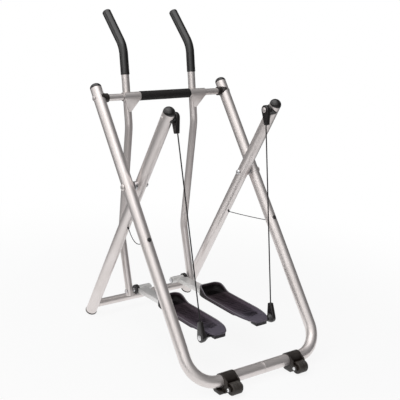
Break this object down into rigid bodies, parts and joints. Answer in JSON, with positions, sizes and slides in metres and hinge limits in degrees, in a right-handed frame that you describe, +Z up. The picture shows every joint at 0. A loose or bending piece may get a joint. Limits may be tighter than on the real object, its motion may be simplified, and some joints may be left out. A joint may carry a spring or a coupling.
{
  "type": "folding air walker",
  "caption": "Folding air walker with crossed tube frames, swinging handle arms that carry footplates, and steel cables that hold the footplates from behind.",
  "frame": {"origin": "on the floor under the middle of the whole machine, unfolded", "axes": "+X to the walker's right, +Y to the front, which the walker faces, +Z up"},
  "size_m": [0.659, 0.9692, 1.244],
  "materials": {
    "silver_paint": "satin metallic paint, warm silver",
    "black_plastic": "moulded, satin black",
    "black_rubber": "matt black rubber",
    "black_steel": "black oxide",
    "zinc_steel": "bright zinc plate",
    "nylon": "dark nylon",
    "grip_rubber": "ribbed dark grey rubber",
    "foam": "soft foam sleeve",
    "footplate_plastic": "textured dark purple grey",
    "steel_rope": "dark stranded steel in a thin clear coat"
  },
  "bodies": {
    "rear_frame": {"rear_frame_tube_left": "silver_paint", "rear_frame_tube_right": "silver_paint", "rear_frame_cap_left": "black_plastic", "rear_frame_cap_right": "black_plastic", "crossbar_saddle_left": "black_plastic", "crossbar_saddle_right": "black_plastic", "pivot_bolt_left": "zinc_steel", "pivot_bolt_right": "zinc_steel", "pivot_spacer_left": "zinc_steel", "pivot_spacer_right": "zinc_steel", "pivot_nut_left": "zinc_steel", "pivot_nut_right": "zinc_steel", "stay_bolt_left": "black_steel", "stay_bolt_right": "black_steel", "foot_clamp_left": "black_plastic", "foot_clamp_right": "black_plastic", "wheel_axle_left": "zinc_steel", "wheel_axle_right": "zinc_steel", "crossbar_tube": "silver_paint", "crossbar_tie_rod": "zinc_steel", "crossbar_grip": "foam"},
    "front_frame": {"front_leg_left": "silver_paint", "front_leg_right": "silver_paint", "front_leg_cap_left": "black_plastic", "front_leg_cap_right": "black_plastic", "front_leg_foot_left": "black_rubber", "front_leg_foot_right": "black_rubber", "cable_collar_left": "black_rubber", "cable_collar_right": "black_rubber", "stay_cable_left": "steel_rope", "stay_cable_right": "steel_rope", "front_cross_tube": "silver_paint"},
    "wheel_left": {"wheel_left": "black_rubber"},
    "swing_arm_left": {"swing_arm_left": "silver_paint", "arm_bush_left": "nylon", "arm_grip_left": "grip_rubber"},
    "foot_pivot_left": {"foot_bolt_left": "zinc_steel"},
    "footplate_left": {"footplate_left": "footplate_plastic", "footplate_bracket_left": "silver_paint", "foot_bush_left": "nylon", "cable_stub_left": "black_plastic"},
    "cable_swivel_left": {"cable_stud_left": "zinc_steel"},
    "cable_left": {"cable_left": "steel_rope", "cable_upper_boot_left": "black_rubber", "cable_lower_boot_left": "black_rubber", "cable_bolt_left": "zinc_steel"},
    "wheel_right": {"wheel_right": "black_rubber"},
    "swing_arm_right": {"swing_arm_right": "silver_paint", "arm_bush_right": "nylon", "arm_grip_right": "grip_rubber"},
    "foot_pivot_right": {"foot_bolt_right": "zinc_steel"},
    "footplate_right": {"footplate_right": "footplate_plastic", "footplate_bracket_right": "silver_paint", "foot_bush_right": "nylon", "cable_stub_right": "black_plastic"},
    "cable_swivel_right": {"cable_stud_right": "zinc_steel"},
    "cable_right": {"cable_right": "steel_rope", "cable_upper_boot_right": "black_rubber", "cable_lower_boot_right": "black_rubber", "cable_bolt_right": "zinc_steel"}
  },
  "joints": [
    {"name": "fold", "type": "hinge", "parent": "rear_frame", "child": "front_frame", "pos_m": [0, 0.0513, 0.641], "axis": [-1, 0, 0], "range_deg": [0, 56], "deforming": ["stay_cable_left", "stay_cable_right"]},
    {"name": "swing_left", "type": "hinge", "parent": "rear_frame", "child": "swing_arm_left", "pos_m": [0, 0.2739, 0.929], "axis": [1, 0, 0], "range_deg": [-25, 25]},
    {"name": "footplate_lift_left", "type": "hinge", "parent": "swing_arm_left", "child": "foot_pivot_left", "pos_m": [0, 0.22958, 0.13844], "axis": [-1, 0, 0], "range_deg": [0, 15.5]},
    {"name": "footplate_tilt_left", "type": "hinge", "parent": "foot_pivot_left", "child": "footplate_left", "pos_m": [0, 0.22958, 0.13844], "axis": [1, 0, 0], "range_deg": [-18.5, 18.5]},
    {"name": "cable_swivel_left", "type": "hinge", "parent": "front_frame", "child": "cable_swivel_left", "pos_m": [0, -0.0951, 0.92104], "axis": [-1, 0, 0], "range_deg": [-34.5, 0]},
    {"name": "cable_swing_left", "type": "hinge", "parent": "cable_swivel_left", "child": "cable_left", "pos_m": [0, -0.0951, 0.92104], "axis": [1, 0, 0], "range_deg": [-26, 26]},
    {"name": "wheel_spin_left", "type": "hinge", "parent": "rear_frame", "child": "wheel_left", "pos_m": [-0.157, -0.46198, 0.024], "axis": [1, 0, 0], "continuous": true},
    {"name": "swing_right", "type": "hinge", "parent": "rear_frame", "child": "swing_arm_right", "pos_m": [0, 0.2739, 0.929], "axis": [1, 0, 0], "range_deg": [-25, 25]},
    {"name": "footplate_lift_right", "type": "hinge", "parent": "swing_arm_right", "child": "foot_pivot_right", "pos_m": [0, 0.24201, 0.13784], "axis": [-1, 0, 0], "range_deg": [0, 15.5]},
    {"name": "footplate_tilt_right", "type": "hinge", "parent": "foot_pivot_right", "child": "footplate_right", "pos_m": [0, 0.24201, 0.13784], "axis": [1, 0, 0], "range_deg": [-18.5, 18.5]},
    {"name": "cable_swivel_right", "type": "hinge", "parent": "front_frame", "child": "cable_swivel_right", "pos_m": [0, -0.0951, 0.92104], "axis": [-1, 0, 0], "range_deg": [-34.5, 0]},
    {"name": "cable_swing_right", "type": "hinge", "parent": "cable_swivel_right", "child": "cable_right", "pos_m": [0, -0.0951, 0.92104], "axis": [1, 0, 0], "range_deg": [-26, 26]},
    {"name": "wheel_spin_right", "type": "hinge", "parent": "rear_frame", "child": "wheel_right", "pos_m": [0.157, -0.46198, 0.024], "axis": [1, 0, 0], "continuous": true}
  ],
  "couplings": [
    {"joint": "footplate_tilt_left", "follows": "swing_left", "ratio": -0.7222},
    {"joint": "cable_swing_left", "follows": "swing_left", "ratio": 1.0193},
    {"joint": "footplate_lift_left", "follows": "fold", "ratio": 0.2738},
    {"joint": "cable_swivel_left", "follows": "fold", "ratio": -0.6076},
    {"joint": "footplate_tilt_right", "follows": "swing_right", "ratio": -0.7222},
    {"joint": "cable_swing_right", "follows": "swing_right", "ratio": 1.0193},
    {"joint": "footplate_lift_right", "follows": "fold", "ratio": 0.2738},
    {"joint": "cable_swivel_right", "follows": "fold", "ratio": -0.6076}
  ]
}
